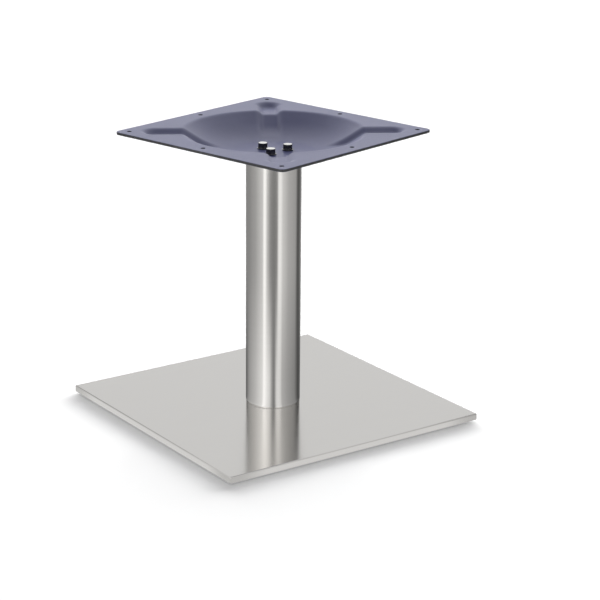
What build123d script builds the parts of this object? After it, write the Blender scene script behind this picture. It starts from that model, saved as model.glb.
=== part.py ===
from build123d import *
import math
import os

# A low table base: a weighted square foot, a round column and a pressed top plate.
# Sizes are in millimetres and angles in degrees. The origin lies on the floor under the
# column, +Z is up, and the sides of the square foot follow X and Y.

# Overall sizes
TOTAL_HEIGHT = 420.0
BASE_SIDE = 430.0
TOP_SIDE = 320.0
TOP_TURN = 13.7             # turn of the top plate from the sides of the base

# Base: a folded sheet cover over a ballast plate
COVER_SHEET = 1.0
COVER_FOLD_RADIUS = 1.0     # inside radius of the four folded edges
COVER_CORNER_RADIUS = 2.0   # inside radius of the four upright corners
COVER_FIT = 0.2             # side gap between the cover and the ballast plate
BALLAST_THICKNESS = 8.0
STANDING_GAP = 3.0          # floor to the underside of the ballast plate

# Column: a tube with a threaded disc welded into each end
TUBE_DIAMETER = 80.0
TUBE_WALL = 1.5
FLANGE_THICKNESS = 8.0
FLANGE_FIT = 0.1            # radial weld gap between disc and tube
BOLT_CIRCLE = 42.0          # diameter of the circle on which the bolts lie
BOLT_COUNT = 3
BOLT_TURN = -16.0           # direction of the first bolt

# Top plate: one pressed sheet
TOP_SHEET = 4.0
TOP_CORNER_RADIUS = 8.0
FIXING_HOLE = 7.0           # diameter of the holes for fixing a table top
FIXING_INSET = 15.0         # edge of the plate to the hole centres
DISH_BORDER = 30.0          # edge of the plate to the dish, at mid side
DISH_DEPTH = 30.0
DISH_WALL_ANGLE = 33.0      # steepest slope of the dish
DISH_BOWL_RADIUS = 110.0    # rounding between the wall and the flat floor of the dish
CHANNEL_WIDTH = 34.0
CHANNEL_DEPTH = 6.5
CHANNEL_WALL_ANGLE = 45.0
CHANNEL_HOLE_GAP = 20.0     # corner hole centre to the end of the channel
CHANNEL_FLOOR_RADIUS = 5.0  # rounding along the channel floor
CHANNEL_FLARE = 14.0        # rounding where a channel opens into the dish
LIP_RADIUS = 12.0           # rounding of the rim into the dish and the channels

# Fasteners
THREAD = 8.0
THREAD_FIT = 0.05           # radial gap of a thread or a seated cone
CLEARANCE_HOLE = 9.0
POINT_CHAMFER = 1.0
BOLT_LENGTH = 20.0          # under the head
BOLT_HEAD_FLATS = 13.0
BOLT_HEAD_HEIGHT = 5.3
BOLT_HEAD_TURN = 8.0
WASHER_HOLE = 8.4
FLAT_WASHER_DIAMETER = 16.0
FLAT_WASHER_THICKNESS = 1.6
SPRING_WASHER_DIAMETER = 14.0
SPRING_WASHER_THICKNESS = 2.0
SPRING_WASHER_SPLIT = 1.2
SCREW_LENGTH = 20.0         # head included
SCREW_HEAD_DIAMETER = 16.0
SCREW_HEAD_SINK = 0.2       # depth of the head below the ballast plate's underside
SOCKET_FLATS = 5.0
SOCKET_DEPTH = 3.0

# Levelling feet
FOOT_INSET = 40.0           # side of the base to the foot centres
FOOT_STOP_GAP = 0.2         # pad to ballast plate with the foot screwed in
PAD_DIAMETER = 26.0
PAD_EDGE_RADIUS = 0.8
STUD_LENGTH = 7.5           # thread above the pad
STUD_HEAD_DIAMETER = 14.0
STUD_HEAD_THICKNESS = 1.4
STUD_HEAD_FIT = 0.05

# Heights above the floor
BALLAST_TOP = STANDING_GAP + BALLAST_THICKNESS
BASE_TOP = BALLAST_TOP + COVER_SHEET
DISH_FLOOR = TOTAL_HEIGHT - DISH_DEPTH
COLUMN_TOP = DISH_FLOOR - TOP_SHEET
PAD_TOP = STANDING_GAP - FOOT_STOP_GAP

# Plan sizes
BALLAST_SIDE = BASE_SIDE - 2 * (COVER_SHEET + COVER_FIT)
TUBE_BORE = TUBE_DIAMETER - 2 * TUBE_WALL
DISH_RADIUS = TOP_SIDE / 2 - DISH_BORDER
FIXING_GRID = TOP_SIDE / 2 - FIXING_INSET
CHANNEL_END = FIXING_GRID * math.sqrt(2) - CHANNEL_HOLE_GAP
THREADED_HOLE = THREAD + 2 * THREAD_FIT
CHANNEL_TURNS = (45, 135, 225, 315)


def bolt_places(height):
    """The places of the column's fasteners at one height."""
    return [Pos(0, 0, height) * place for place in PolarLocations(BOLT_CIRCLE / 2, BOLT_COUNT, BOLT_TURN)]


def foot_places():
    """The places of the four feet on the floor, counted round from the -X -Y corner."""
    reach = BASE_SIDE / 2 - FOOT_INSET
    return [Pos(-reach, -reach), Pos(reach, -reach), Pos(reach, reach), Pos(-reach, reach)]


def upright(diameter, low, high):
    """A cylinder on the Z axis between two heights."""
    return Pos(0, 0, low) * extrude(Circle(diameter / 2), amount=high - low)


def cone(low_diameter, high_diameter, low, high):
    """A cone on the Z axis between two heights."""
    corners = [(0, low), (low_diameter / 2, low), (high_diameter / 2, high), (0, high)]
    return revolve(Plane.XZ * make_face(Polyline(*corners, close=True)), Axis.Z)


def rounded_block(side, corner, fold, low, high):
    """A square block with rounded upright corners and a rounded top edge."""
    block = Pos(0, 0, low) * extrude(RectangleRounded(side, side, corner), amount=high - low)
    return fillet(block.faces().sort_by(Axis.Z)[-1].edges(), fold)


def base_cover():
    """A sheet folded down over the ballast plate, with holes for the base screws."""
    outer = rounded_block(
        BASE_SIDE,
        COVER_CORNER_RADIUS + COVER_SHEET,
        COVER_FOLD_RADIUS + COVER_SHEET,
        STANDING_GAP,
        BASE_TOP,
    )
    inner = rounded_block(
        BASE_SIDE - 2 * COVER_SHEET, COVER_CORNER_RADIUS, COVER_FOLD_RADIUS, STANDING_GAP, BALLAST_TOP
    )
    cover = outer - inner
    for place in bolt_places(0):
        cover -= place * upright(CLEARANCE_HOLE, BALLAST_TOP, BASE_TOP)
    return cover


def ballast_plate():
    """The heavy plate, countersunk for the base screws and threaded for the feet."""
    plate = rounded_block(
        BALLAST_SIDE,
        COVER_CORNER_RADIUS - COVER_FIT,
        COVER_FOLD_RADIUS + COVER_FIT,
        STANDING_GAP,
        BALLAST_TOP,
    )
    head = SCREW_HEAD_DIAMETER + 2 * THREAD_FIT
    cone_low = STANDING_GAP + SCREW_HEAD_SINK
    cone_high = cone_low + (head - THREADED_HOLE) / 2
    for place in bolt_places(0):
        plate -= place * upright(CLEARANCE_HOLE, STANDING_GAP, BALLAST_TOP)
        plate -= place * upright(head, STANDING_GAP, cone_low)
        plate -= place * cone(head, THREADED_HOLE, cone_low, cone_high)
    for place in foot_places():
        plate -= place * upright(THREADED_HOLE, STANDING_GAP, BALLAST_TOP)
    return plate


def column_tube():
    """The round tube between the base and the dish."""
    return upright(TUBE_DIAMETER, BASE_TOP, COLUMN_TOP) - upright(TUBE_BORE, BASE_TOP, COLUMN_TOP)


def flange(low):
    """A disc in the end of the tube, with the threaded holes for its bolts."""
    disc = upright(TUBE_BORE - 2 * FLANGE_FIT, low, low + FLANGE_THICKNESS)
    for place in bolt_places(low):
        disc -= place * upright(THREADED_HOLE, 0, FLANGE_THICKNESS)
    return disc


def countersunk_screw():
    """A socket screw with its flat head down on z = 0 and its point up."""
    head_height = (SCREW_HEAD_DIAMETER - THREAD) / 2
    point = SCREW_LENGTH - POINT_CHAMFER
    screw = cone(SCREW_HEAD_DIAMETER, THREAD, 0, head_height)
    screw += upright(THREAD, head_height, point)
    screw += cone(THREAD, THREAD - 2 * POINT_CHAMFER, point, SCREW_LENGTH)
    return screw - extrude(RegularPolygon(SOCKET_FLATS / 2, 6, major_radius=False), amount=SOCKET_DEPTH)


def hex_bolt():
    """A hex bolt with the underside of its head on z = 0 and its point down."""
    head = extrude(RegularPolygon(BOLT_HEAD_FLATS / 2, 6, major_radius=False), amount=BOLT_HEAD_HEIGHT)
    across_corners = BOLT_HEAD_FLATS / math.cos(math.radians(30))
    bevel_height = (across_corners - BOLT_HEAD_FLATS) / 2
    bevel = upright(across_corners, 0, BOLT_HEAD_HEIGHT - bevel_height)
    bevel += cone(across_corners, BOLT_HEAD_FLATS, BOLT_HEAD_HEIGHT - bevel_height, BOLT_HEAD_HEIGHT)
    bolt = Rot(0, 0, BOLT_HEAD_TURN) * (head & bevel)
    bolt += upright(THREAD, POINT_CHAMFER - BOLT_LENGTH, 0)
    return bolt + cone(THREAD - 2 * POINT_CHAMFER, THREAD, -BOLT_LENGTH, POINT_CHAMFER - BOLT_LENGTH)


def flat_washer():
    """A plain washer standing on z = 0."""
    ring = Circle(FLAT_WASHER_DIAMETER / 2) - Circle(WASHER_HOLE / 2)
    return extrude(ring, amount=FLAT_WASHER_THICKNESS)


def spring_washer():
    """A split washer, pressed flat, standing on z = 0."""
    ring = Circle(SPRING_WASHER_DIAMETER / 2) - Circle(WASHER_HOLE / 2)
    ring -= Pos(SPRING_WASHER_DIAMETER / 2, 0) * Rectangle(SPRING_WASHER_DIAMETER, SPRING_WASHER_SPLIT)
    return extrude(ring, amount=SPRING_WASHER_THICKNESS)


def dish_form(grow):
    """The hollow of the dish below the rim, with its wall moved out by grow."""
    slope = math.radians(DISH_WALL_ANGLE)
    flat_floor = DISH_RADIUS - DISH_DEPTH / math.tan(slope) - DISH_BOWL_RADIUS * math.tan(slope / 2)
    bowl = DISH_BOWL_RADIUS + grow
    floor = -DISH_DEPTH - grow
    rim = DISH_RADIUS + grow * math.tan(slope / 2)

    def on_bowl(angle):
        return (flat_floor + bowl * math.sin(angle), floor + bowl * (1 - math.cos(angle)))

    outline = [
        Line((0, -grow), (0, floor)),
        Line((0, floor), on_bowl(0)),
        ThreePointArc(on_bowl(0), on_bowl(slope / 2), on_bowl(slope)),
        Line(on_bowl(slope), (rim, -grow)),
        Line((rim, -grow), (0, -grow)),
    ]
    return revolve(Plane.XZ * make_face(outline), Axis.Z)


def channel_form(grow):
    """The hollow of one channel along +X below the rim, with its walls moved out by grow."""
    widen = grow * math.tan(math.radians(CHANNEL_WALL_ANGLE / 2))
    half = CHANNEL_WIDTH / 2 + widen
    end = CHANNEL_END + widen - half
    start = DISH_RADIUS - 2 * CHANNEL_DEPTH / math.tan(math.radians(DISH_WALL_ANGLE))
    plan = Pos((start + end) / 2, 0) * Rectangle(end - start, 2 * half) + Pos(end, 0) * Circle(half)
    channel = extrude(plan, amount=-CHANNEL_DEPTH, taper=90 - CHANNEL_WALL_ANGLE)
    return Pos(0, 0, -grow) * channel


def level_edges(shape, height):
    """The edges of a shape that lie level at one height."""
    return shape.edges().filter_by_position(Axis.Z, height - 0.01, height + 0.01)


def pressed_form(grow):
    """The dish and its channels as one rounded hollow, with every wall moved out by grow."""
    form = dish_form(grow)
    channel = channel_form(grow)
    for turn in CHANNEL_TURNS:
        form += Rot(0, 0, turn) * channel
    channel_floor = -CHANNEL_DEPTH - grow
    spanning = []
    for edge in form.edges():
        box = edge.bounding_box()
        if abs(box.max.Z + grow) < 0.01 and abs(box.min.Z - channel_floor) < 0.01:
            spanning.append(edge)
    spanning.sort(key=lambda edge: math.hypot(edge.center().X, edge.center().Y))
    mouths = spanning[: 2 * len(CHANNEL_TURNS)]
    form = fillet(mouths, CHANNEL_FLARE)
    return fillet(level_edges(form, channel_floor), CHANNEL_FLOOR_RADIUS + grow)


def top_plate():
    """The pressed plate: a dish, four corner channels and eight fixing holes."""
    outline = RectangleRounded(TOP_SIDE, TOP_SIDE, TOP_CORNER_RADIUS)
    plate = extrude(outline, amount=-TOP_SHEET) + pressed_form(TOP_SHEET) - pressed_form(0)
    for height, radius in ((0, LIP_RADIUS), (-TOP_SHEET, LIP_RADIUS - TOP_SHEET)):
        level = plate.faces().filter_by(Axis.Z).filter_by_position(Axis.Z, height - 0.01, height + 0.01)
        border = level.sort_by(SortBy.AREA)[-1]
        plate = fillet(border.inner_wires()[0].edges(), radius)
    for column in (-FIXING_GRID, 0, FIXING_GRID):
        for row in (-FIXING_GRID, 0, FIXING_GRID):
            if column or row:
                plate -= Pos(column, row) * upright(FIXING_HOLE, -TOP_SHEET, 0)
    for place in bolt_places(-DISH_DEPTH - TOP_SHEET):
        plate -= Rot(0, 0, -TOP_TURN) * place * upright(CLEARANCE_HOLE, 0, TOP_SHEET)
    return Pos(0, 0, TOTAL_HEIGHT) * Rot(0, 0, TOP_TURN) * plate


def foot_stud():
    """The stud of a foot: a flat head sunk in the pad and a thread that stands up from it."""
    tip = PAD_TOP + STUD_LENGTH
    stud = upright(STUD_HEAD_DIAMETER, PAD_TOP - STUD_HEAD_THICKNESS, PAD_TOP)
    stud += upright(THREAD, PAD_TOP, tip - POINT_CHAMFER)
    return stud + cone(THREAD, THREAD - 2 * POINT_CHAMFER, tip - POINT_CHAMFER, tip)


def foot_pad():
    """The round pad of a foot, with a recess for the head of its stud."""
    pad = upright(PAD_DIAMETER, 0, PAD_TOP)
    pad = fillet(level_edges(pad, 0), PAD_EDGE_RADIUS)
    return pad - upright(STUD_HEAD_DIAMETER + 2 * STUD_HEAD_FIT, PAD_TOP - STUD_HEAD_THICKNESS, PAD_TOP)


def group(shape, places):
    """Separate copies of one solid as a single part."""
    return Compound(children=[place * shape for place in places])


def main():
    """Build every piece in its place and write each one to its own file."""
    spring_low = DISH_FLOOR + FLAT_WASHER_THICKNESS
    head_low = spring_low + SPRING_WASHER_THICKNESS
    pieces = {
        "base_cover": base_cover(),
        "ballast_plate": ballast_plate(),
        "base_screws": group(countersunk_screw(), bolt_places(STANDING_GAP + SCREW_HEAD_SINK)),
        "column_tube": column_tube(),
        "column_foot_flange": flange(BASE_TOP),
        "column_head_flange": flange(COLUMN_TOP - FLANGE_THICKNESS),
        "top_plate": top_plate(),
        "top_flat_washers": group(flat_washer(), bolt_places(DISH_FLOOR)),
        "top_spring_washers": group(spring_washer(), bolt_places(spring_low)),
        "top_bolts": group(hex_bolt(), bolt_places(head_low)),
    }
    for number, place in enumerate(foot_places(), 1):
        pieces[f"foot_{number}_pad"] = place * foot_pad()
        pieces[f"foot_{number}_stud"] = place * foot_stud()
    os.makedirs("parts", exist_ok=True)
    for name, piece in pieces.items():
        export_step(piece, f"parts/{name}.step")


main()
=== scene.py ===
# %% [markdown]
# # A low table base, dressed for a studio picture
# The real object is a weighted square foot in brushed stainless steel, a round column of the
# same steel and a pressed steel plate on top, coated in dark blue-grey, that a table top is
# screwed to. The construction model gives every piece its place and its size. This lesson
# makes finer surfaces and finishes over it, a floor, soft light and a camera.

# %% Load the frame
import math
import bmesh
import bpy
import numpy as np
from mathutils import Matrix, Vector


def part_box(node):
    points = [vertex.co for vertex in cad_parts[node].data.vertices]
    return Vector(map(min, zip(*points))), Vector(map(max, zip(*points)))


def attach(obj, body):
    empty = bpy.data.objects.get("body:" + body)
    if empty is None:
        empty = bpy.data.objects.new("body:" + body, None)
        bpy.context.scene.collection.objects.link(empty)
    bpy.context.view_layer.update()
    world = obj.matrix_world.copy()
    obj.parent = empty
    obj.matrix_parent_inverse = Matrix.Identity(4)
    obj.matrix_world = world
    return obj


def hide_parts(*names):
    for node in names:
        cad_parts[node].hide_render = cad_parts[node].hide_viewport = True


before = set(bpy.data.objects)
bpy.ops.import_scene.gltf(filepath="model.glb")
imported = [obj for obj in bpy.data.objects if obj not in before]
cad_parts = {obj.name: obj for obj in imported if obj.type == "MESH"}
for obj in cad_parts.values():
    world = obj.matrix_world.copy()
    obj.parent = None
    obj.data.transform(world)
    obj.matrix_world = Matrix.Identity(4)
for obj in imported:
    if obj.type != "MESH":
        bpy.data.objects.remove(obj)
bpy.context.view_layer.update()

# %% [markdown]
# ## Sizes
# A size that the construction model shows is measured from it, so the finer pieces stay in
# step with it. Those that no box shows, such as a sheet's thickness or a rounding, are written
# once, in metres, here or where they are first needed.

# %% Sizes
MM = 0.001
base_low, base_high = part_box("base_cover")
tube_low, tube_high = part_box("column_tube")
BASE_HALF = base_high.x
BASE_TOP = base_high.z
SKIRT_FOOT = base_low.z
TUBE_RADIUS = tube_high.x
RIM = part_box("top_plate")[1].z

PLATE_SHEET = 4 * MM
DISH_FLOOR = tube_high.z + PLATE_SHEET
COVER_SHEET = 1 * MM
COVER_FOLD = 2 * MM          # outside radius of the folded edges
COVER_CORNER = 3 * MM        # outside radius of the upright corners
TUBE_WALL = 1.5 * MM
print("base half side", round(BASE_HALF, 4), "tube radius", round(TUBE_RADIUS, 4), "rim", round(RIM, 4))

# %% [markdown]
# ## From a grid of numbers to a mesh
# Every shape here is a grid: rows and columns of points worked out at once as arrays. Each
# cell of the grid becomes one four-sided face. A piece can take several grids; points that
# fall together are merged, which closes the seams and the poles, and then all the faces are
# turned outwards.

# %% Grid helpers
SHARP_TURN = math.radians(32)    # an edge at which the surface turns by more than this stays crisp


def woven(points, wrap_rows=False, wrap_columns=True):
    """Points and faces of a grid: face (i, j) joins point (i, j) to its three neighbours at
    (i, j+1), (i+1, j+1) and (i+1, j). A wrapped direction joins its last line to its first."""
    rows, columns = points.shape[:2]
    number = np.arange(rows * columns).reshape(rows, columns)
    if wrap_rows:
        number = np.vstack([number, number[:1]])
    if wrap_columns:
        number = np.hstack([number, number[:, :1]])
    corners = (number[:-1, :-1], number[:-1, 1:], number[1:, 1:], number[1:, :-1])
    return points.reshape(-1, 3), np.stack(corners, axis=-1).reshape(-1, 4)


def make_mesh(name, grids):
    """One closed mesh from woven grids, smooth except at its sharp edges."""
    starts = np.cumsum([0] + [len(points) for points, faces in grids])
    points = np.concatenate([points for points, faces in grids])
    faces = np.concatenate([faces + start for (_, faces), start in zip(grids, starts)])
    mesh = bpy.data.meshes.new(name)
    mesh.from_pydata(points.tolist(), [], faces.tolist())
    work = bmesh.new()
    work.from_mesh(mesh)
    bmesh.ops.remove_doubles(work, verts=work.verts, dist=1e-6)
    bmesh.ops.dissolve_degenerate(work, edges=work.edges, dist=1e-7)
    bmesh.ops.recalc_face_normals(work, faces=work.faces)
    work.to_mesh(mesh)
    work.free()
    mesh.shade_smooth()
    mesh.set_sharp_from_angle(angle=SHARP_TURN)
    return mesh


# %% [markdown]
# ## Profiles and rings
# Turned parts are a profile of radius and height carried round the upright axis. A profile is
# drawn by its sharp corners, and each corner is then rounded by an arc, as a lathe tool or a
# folding press leaves it.

# %% Profile helpers
def rounded_line(corners, radii, steps=5):
    """A line through corners in which every corner is rounded by an arc that touches both of its
    runs. With run directions d and e and turn angle a, the arc starts radius * tan(a / 2) before
    the corner and adds radius * (sin t * d + (1 - cos t) * n), where n points into the turn."""
    corners = np.asarray(corners, float)
    befores = np.roll(corners, 1, 0)
    afters = np.roll(corners, -1, 0)
    parts = []
    for here, before, after, radius in zip(corners, befores, afters, radii):
        d = (here - before) / max(np.linalg.norm(here - before), 1e-12)
        e = (after - here) / max(np.linalg.norm(after - here), 1e-12)
        turn = math.acos(np.clip(d @ e, -1, 1))
        if radius == 0 or turn < 1e-6:
            parts.append(here[None])
            continue
        side = np.sign(d[0] * e[1] - d[1] * e[0])
        normal = side * np.array([-d[1], d[0]])
        t = np.linspace(0, turn, steps + 1)[:, None]
        start = here - d * radius * math.tan(turn / 2)
        parts.append(start + radius * (np.sin(t) * d + (1 - np.cos(t)) * normal))
    return np.concatenate(parts)


def full_turn(steps):
    """Equal angles once round."""
    return np.linspace(0, 2 * np.pi, steps, endpoint=False)


def on_circle(angle):
    """Points of the unit circle: x = cos(angle), y = sin(angle)."""
    return np.stack([np.cos(angle), np.sin(angle)], axis=-1)


def lifted(plan, height):
    """Points from their places in plan, as (x, y) pairs, and their heights."""
    height = np.broadcast_to(height, plan.shape[:-1])
    return np.concatenate([plan, height[..., None]], axis=-1)


def turned(profile, steps, centre=(0, 0)):
    """A profile of (radius, height) pairs carried once round an upright axis:
    x = radius * cos(angle), y = radius * sin(angle), z = height."""
    profile = np.asarray(profile, float)
    return lifted(profile[:, None, :1] * on_circle(full_turn(steps)) + centre, profile[:, 1:])


print("a square of side 2 with its corners rounded has",
      len(rounded_line([(1, 1), (-1, 1), (-1, -1), (1, -1)], [0.2] * 4)), "points")

# %% [markdown]
# ## Holes
# Three fasteners hold the column at each end, on one circle inside the tube, and the plate has
# eight more holes for the table top. A grid with a hole in it would need rows bent round the
# hole, so the holes are drilled afterwards, as in the workshop: a Boolean modifier takes a few
# cylinders away and is applied at once. A finished piece takes the place of a node of the
# construction model, with a slot for its finish and the body that it rides on.

# %% Drilling
BOLT_CIRCLE = 21 * MM        # radius of the circle on which the column's fasteners lie
BOLT_TURN = math.radians(-16)
FASTENER_TURNS = BOLT_TURN + np.arange(3) * 2 * np.pi / 3
FASTENERS = BOLT_CIRCLE * on_circle(FASTENER_TURNS)
CLEARANCE = 4.5 * MM         # radius of the holes that the fasteners pass through
DRILL_ABOVE = 4 * MM
DRILL_BELOW = 8 * MM


def drill(mesh, centres, radius, level, steps=40):
    """Cuts round holes through a mesh, from a little above a level to a little below it."""
    low = level - DRILL_BELOW
    high = level + DRILL_ABOVE
    profile = [(0, low), (radius, low), (radius, high), (0, high)]
    grids = [woven(turned(profile, steps, centre)) for centre in centres]
    tool = bpy.data.objects.new("drill", make_mesh("drill", grids))
    work = bpy.data.objects.new("work", mesh)
    for thing in (tool, work):
        bpy.context.scene.collection.objects.link(thing)
    cut = work.modifiers.new("holes", "BOOLEAN")
    cut.operation = "DIFFERENCE"
    cut.solver = "EXACT"
    cut.object = tool
    finished = work.evaluated_get(bpy.context.evaluated_depsgraph_get())
    drilled = bpy.data.meshes.new_from_object(finished)
    for thing in (tool, work):
        bpy.data.objects.remove(thing)
    drilled.name = mesh.name
    drilled.shade_smooth()
    drilled.set_sharp_from_angle(angle=SHARP_TURN)
    return drilled


def place_piece(name, grids, material, node, body="base", holes=()):
    """Makes a piece from grids, drills its holes and puts it in the place of a construction node."""
    mesh = make_mesh(name, grids)
    for centres, radius, level in holes:
        mesh = drill(mesh, centres, radius, level)
    piece = bpy.data.objects.new(name, mesh)
    bpy.context.scene.collection.objects.link(piece)
    mesh.materials.clear()
    mesh.materials.append(material)
    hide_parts(node)
    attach(piece, body)
    print(name, len(mesh.polygons), "faces")


print("fasteners at", np.round(FASTENERS, 4).tolist())

# %% [markdown]
# ## Material helpers
# A finish is a small graph of nodes. These helpers keep the graphs short to write. They add a
# node and fill its inputs, with a number, a colour or the output of another node, start a
# material from its Principled shader, and lay coordinates and noise on the object.

# %% Node helpers
def add(tree, kind, inputs=None, **settings):
    """Adds a shader node; an input given as a socket is linked, and anything else is its value."""
    node = tree.nodes.new("ShaderNode" + kind)
    for name, value in settings.items():
        setattr(node, name, value)
    for name, value in (inputs or {}).items():
        if isinstance(value, bpy.types.NodeSocket):
            tree.links.new(value, node.inputs[name])
        else:
            node.inputs[name].default_value = value
    return node


def maths(tree, operation, *values):
    """The result of one Math node."""
    return add(tree, "Math", dict(enumerate(values)), operation=operation).outputs[0]


def ranged(tree, value, low, high, start=0.0, end=1.0, **settings):
    """A value that runs from start to end brought to the range low..high and kept inside it."""
    limits = {"Value": value, "From Min": start, "From Max": end, "To Min": low, "To Max": high}
    return add(tree, "MapRange", limits, **settings).outputs["Result"]


def tinted(tree, value, dark, light):
    """A colour between dark and light, picked by a 0..1 value. Either can be another node's output."""
    ends = [(*end, 1) if isinstance(end, tuple) else end for end in (dark, light)]
    return add(tree, "MixRGB", {"Fac": value, "Color1": ends[0], "Color2": ends[1]}).outputs["Color"]


def stretched_place(tree, scale=(1, 1, 1), turn=(0, 0, 0)):
    """Object coordinates, turned and then scaled by a different amount along each axis."""
    place = add(tree, "TexCoord").outputs["Object"]
    return add(tree, "Mapping", {"Vector": place, "Rotation": turn, "Scale": scale}).outputs["Vector"]


def noise(tree, place, scale, detail=2.0, **more):
    """Noise from 0 to 1 on given coordinates."""
    inputs = {"Vector": place, "Scale": scale, "Detail": detail, **more}
    return add(tree, "TexNoise", inputs).outputs["Fac"]


def empty_material(name):
    """A material without any nodes, and its tree."""
    material = bpy.data.materials.new(name)
    material.use_nodes = True
    material.node_tree.nodes.clear()
    return material, material.node_tree


def start_material(name, **values):
    """A material with a Principled shader; the values are uniform all over the surface."""
    material, tree = empty_material(name)
    shader = add(tree, "BsdfPrincipled", {key.replace("_", " "): value for key, value in values.items()})
    add(tree, "OutputMaterial", {"Surface": shader.outputs["BSDF"]})
    return material, tree, shader


def feed(tree, shader, **sources):
    """Links node outputs to the shader's inputs of those names."""
    for name, source in sources.items():
        tree.links.new(source, shader.inputs[name.replace("_", " ")])


def bumped(tree, shader, height, distance):
    """Feeds a 0..1 height times a distance in metres into the shader's normal."""
    bump = add(tree, "Bump", {"Height": height, "Distance": distance, "Strength": 1.0})
    feed(tree, shader, Normal=bump.outputs["Normal"])


# %% [markdown]
# ## Grain and cloudiness, shared by the finishes
# Brushed steel has two scales of detail: hairlines from the abrasive belt, and broad faint
# clouds where the belt was newer or the sheet was handled. Both are noise. Stretched far along
# one axis it gives hairlines, and left round and large it gives clouds. Several finishes need
# both, so they are node groups.

# %% Shared effects
def start_group(name, *outputs):
    """An empty node group that takes a place and gives numbers: its tree, the place, the results."""
    tree = bpy.data.node_groups.new(name, "ShaderNodeTree")
    tree.interface.new_socket(name="Place", in_out="INPUT", socket_type="NodeSocketVector")
    for socket in outputs:
        tree.interface.new_socket(name=socket, in_out="OUTPUT", socket_type="NodeSocketFloat")
    place = tree.nodes.new("NodeGroupInput").outputs["Place"]
    return tree, place, tree.nodes.new("NodeGroupOutput").inputs


def hairline_group():
    """Hairlines: fine noise plus a coarser one on coordinates that are already stretched."""
    tree, place, result = start_group("hairlines", "Line", "Height")
    fine = noise(tree, place, 1.0, 3.0, Roughness=0.6)
    broad = noise(tree, place, 0.23)
    line = maths(tree, "MULTIPLY_ADD", broad, 0.35, maths(tree, "MULTIPLY", fine, 0.65))
    tree.links.new(line, result["Line"])
    tree.links.new(fine, result["Height"])
    return tree


def cloud_group():
    """Clouds: two sizes of round noise, the smaller with a third of the weight, spread to 0..1."""
    tree, place, result = start_group("clouds", "Cloud")
    large = noise(tree, place, 1.0, 4.0, Distortion=0.4)
    small = noise(tree, place, 5.3, 3.0)
    both = maths(tree, "MULTIPLY_ADD", large, 0.67, maths(tree, "MULTIPLY", small, 0.33))
    tree.links.new(ranged(tree, both, 0.0, 1.0, 0.3, 0.7), result["Cloud"])
    return tree


HAIRLINES = hairline_group()
CLOUDS = cloud_group()


def hairlines(tree, scale):
    """The hairlines on coordinates scaled along each axis, in repeats to the metre."""
    return add(tree, "Group", {"Place": stretched_place(tree, scale)}, node_tree=HAIRLINES).outputs


def clouds(tree, *scale):
    """The clouds on coordinates scaled along each axis, or along all three by one number."""
    place = stretched_place(tree, scale if len(scale) == 3 else scale * 3)
    return add(tree, "Group", {"Place": place}, node_tree=CLOUDS).outputs["Cloud"]


def facing_up(tree, low, high):
    """How far a surface faces up or down, from 0 below low to 1 above high, by its normal's height."""
    normal = add(tree, "TexCoord").outputs["Normal"]
    height = add(tree, "SeparateXYZ", {"Vector": normal}).outputs["Z"]
    return ranged(tree, maths(tree, "ABSOLUTE", height), 0.0, 1.0, low, high)


print("groups:", HAIRLINES.name, CLOUDS.name)

# %% [markdown]
# ## Brushed steel
# The foot is brushed in straight lines along one side of the sheet. The tube is brushed round
# its girth, which smears reflections up and down and leaves them sharp from side to side. It is
# one metal, so one function makes both, with the hairlines stretched along the brushing. Towards
# the upright corners of the foot its sides get a painted shade, a darker steel colour.

# %% Brushed stainless steel
HAIRLINE_DEPTH = 1e-6
# painted shade: a darker steel colour for the upright sides of the foot near its corners
PAINTED_SHADE_STEEL = (0.405, 0.398, 0.385)
PAINTED_SHADE_FROM = BASE_HALF - 65 * MM    # distance from the middle lines where the painted shade starts
PAINTED_SHADE_FULL = BASE_HALF - 12 * MM


def brushed_steel(name, grain, patches, dark, light, dull, **values):
    """Hairlines set the colour, between dark and light, and the roughness, from 0.1 to dull. Clouds
    add up to 0.03 to the roughness. Returns the material with its tree, shader and colour."""
    material, tree, shader = start_material(name, Metallic=1.0, **values)
    lines = hairlines(tree, grain)
    colour = tinted(tree, lines["Line"], dark, light)
    worn = ranged(tree, clouds(tree, *patches), 0.0, 0.03)
    rough = maths(tree, "ADD", ranged(tree, lines["Line"], 0.1, dull), worn)
    feed(tree, shader, Base_Color=colour, Roughness=rough)
    bumped(tree, shader, lines["Height"], HAIRLINE_DEPTH)
    return material, tree, shader, colour


def near_upright_edge(tree):
    """How near a point of the square foot is to one of its upright edges, by the smaller of its
    distances from the two middle lines."""
    place = add(tree, "SeparateXYZ", {"Vector": stretched_place(tree)}).outputs
    smaller = maths(tree, "MINIMUM", *[maths(tree, "ABSOLUTE", place[axis]) for axis in "XY"])
    return ranged(tree, smaller, 0.0, 1.0, PAINTED_SHADE_FROM, PAINTED_SHADE_FULL, interpolation_type="SMOOTHSTEP")


def brushed_sheet():
    """Straight hairlines along X: the coordinates are stretched about 60 times along the lines.
    Upright faces near an upright edge get a painted shade, a darker steel colour."""
    grain = "brushed_sheet", (45, 2600, 2600), (7, 7, 7)
    tones = (0.5, 0.49, 0.475), (0.57, 0.56, 0.545)
    material, tree, shader, colour = brushed_steel(*grain, *tones, 0.17)
    upright = ranged(tree, facing_up(tree, 0.3, 0.7), 1.0, 0.0)
    # painted shade on upright faces near the foot's upright corners
    painted_shade = maths(tree, "MULTIPLY", near_upright_edge(tree), upright)
    feed(tree, shader, Base_Color=tinted(tree, painted_shade, colour, PAINTED_SHADE_STEEL))
    return material


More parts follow.
